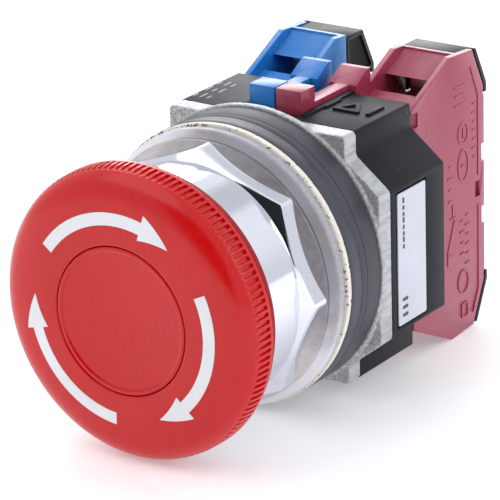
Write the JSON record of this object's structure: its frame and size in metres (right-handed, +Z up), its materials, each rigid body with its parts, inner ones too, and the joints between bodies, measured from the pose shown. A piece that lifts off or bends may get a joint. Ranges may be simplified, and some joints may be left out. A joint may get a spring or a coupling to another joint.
{
  "type": "emergency stop button",
  "caption": "Panel-mounted emergency stop operator: red mushroom head that latches when pushed and turns to reset, with normally open and normally closed contact blocks.",
  "frame": {"origin": "on the operator axis, in the plane where the panel is clamped between the front washer and the spacer rings", "axes": "+Y back along the operator axis, away from the button; +Z up; +X to the right seen from the front"},
  "size_m": [0.0414, 0.071, 0.043],
  "materials": {
    "red_plastic": "moulded, semi-gloss",
    "chrome_plating": "bright plated",
    "zinc_casting": "as cast, rough grey",
    "steel": "zinc plated",
    "brass": "satin",
    "black_plastic": "moulded, fine texture",
    "black_rubber": "matt",
    "clear_silicone": "translucent, satin",
    "cream_plastic": "worn edge",
    "label_film": "printed film",
    "blue_plastic": "moulded, satin",
    "burgundy_plastic": "moulded, satin"
  },
  "bodies": {
    "base": {"bezel_ring": "chrome_plating", "panel_gasket": "clear_silicone", "thrust_washer": "cream_plastic", "spacer_ring_front": "black_rubber", "spacer_ring_rear": "black_rubber", "operator_body": "zinc_casting", "wiper_seal": "black_rubber", "return_spring": "steel", "mechanism_housing": "black_plastic", "rating_label": "label_film", "latch_spring_left": "steel", "housing_screw_left": "steel", "latch_spring_right": "steel", "housing_screw_right": "steel", "no_contact_case": "blue_plastic", "no_return_spring": "steel", "no_terminal_cover_top": "black_plastic", "no_terminal_top": "brass", "no_clamp_washer_top": "steel", "no_terminal_screw_top": "steel", "no_terminal_cover_bottom": "black_plastic", "no_terminal_bottom": "brass", "no_clamp_washer_bottom": "steel", "no_terminal_screw_bottom": "steel", "nc_contact_case": "burgundy_plastic", "nc_return_spring": "steel", "nc_terminal_cover_top": "black_plastic", "nc_terminal_top": "brass", "nc_clamp_washer_top": "steel", "nc_terminal_screw_top": "steel", "nc_terminal_cover_bottom": "black_plastic", "nc_terminal_bottom": "brass", "nc_clamp_washer_bottom": "steel", "nc_terminal_screw_bottom": "steel"},
    "push_sleeve": {"pusher": "black_plastic"},
    "head": {"button_head": "red_plastic", "head_cap": "red_plastic", "head_screw": "steel", "spindle": "zinc_casting"},
    "no_plunger_set": {"no_plunger": "blue_plastic", "no_contact_bridge": "brass", "no_contact_spring": "steel"},
    "nc_plunger_set": {"nc_plunger": "burgundy_plastic", "nc_contact_bridge": "brass", "nc_contact_spring": "steel"},
    "latch_left": {"latch_pin_left": "steel"},
    "latch_right": {"latch_pin_right": "steel"}
  },
  "joints": [
    {"name": "push", "type": "slide", "parent": "base", "child": "push_sleeve", "axis": [0, 1, 0], "range_m": [0, 0.004], "stiffness_N_per_m": 1500, "springref_m": -0.006, "deforming": ["return_spring"]},
    {"name": "reset_twist", "type": "hinge", "parent": "push_sleeve", "child": "head", "pos_m": [0, 0, 0], "axis": [0, 1, 0], "range_deg": [0, 45], "stiffness_Nm_per_rad": 0.05, "springref_deg": -11.46},
    {"name": "no_plunger_slide", "type": "slide", "parent": "base", "child": "no_plunger_set", "axis": [0, 1, 0], "range_m": [0, 0.004], "deforming": ["no_return_spring"]},
    {"name": "nc_plunger_slide", "type": "slide", "parent": "base", "child": "nc_plunger_set", "axis": [0, 1, 0], "range_m": [0, 0.004], "deforming": ["nc_return_spring"]},
    {"name": "latch_left_slide", "type": "slide", "parent": "base", "child": "latch_left", "axis": [1, 0, 0], "range_m": [0, 0.001], "deforming": ["latch_spring_left"]},
    {"name": "latch_right_slide", "type": "slide", "parent": "base", "child": "latch_right", "axis": [-1, 0, 0], "range_m": [0, 0.001], "deforming": ["latch_spring_right"]}
  ],
  "couplings": [
    {"joint": "no_plunger_slide", "follows": "push", "ratio": 1},
    {"joint": "nc_plunger_slide", "follows": "push", "ratio": 1},
    {"joint": "latch_left_slide", "follows": "push", "ratio": 0.25},
    {"joint": "latch_right_slide", "follows": "push", "ratio": 0.25}
  ]
}
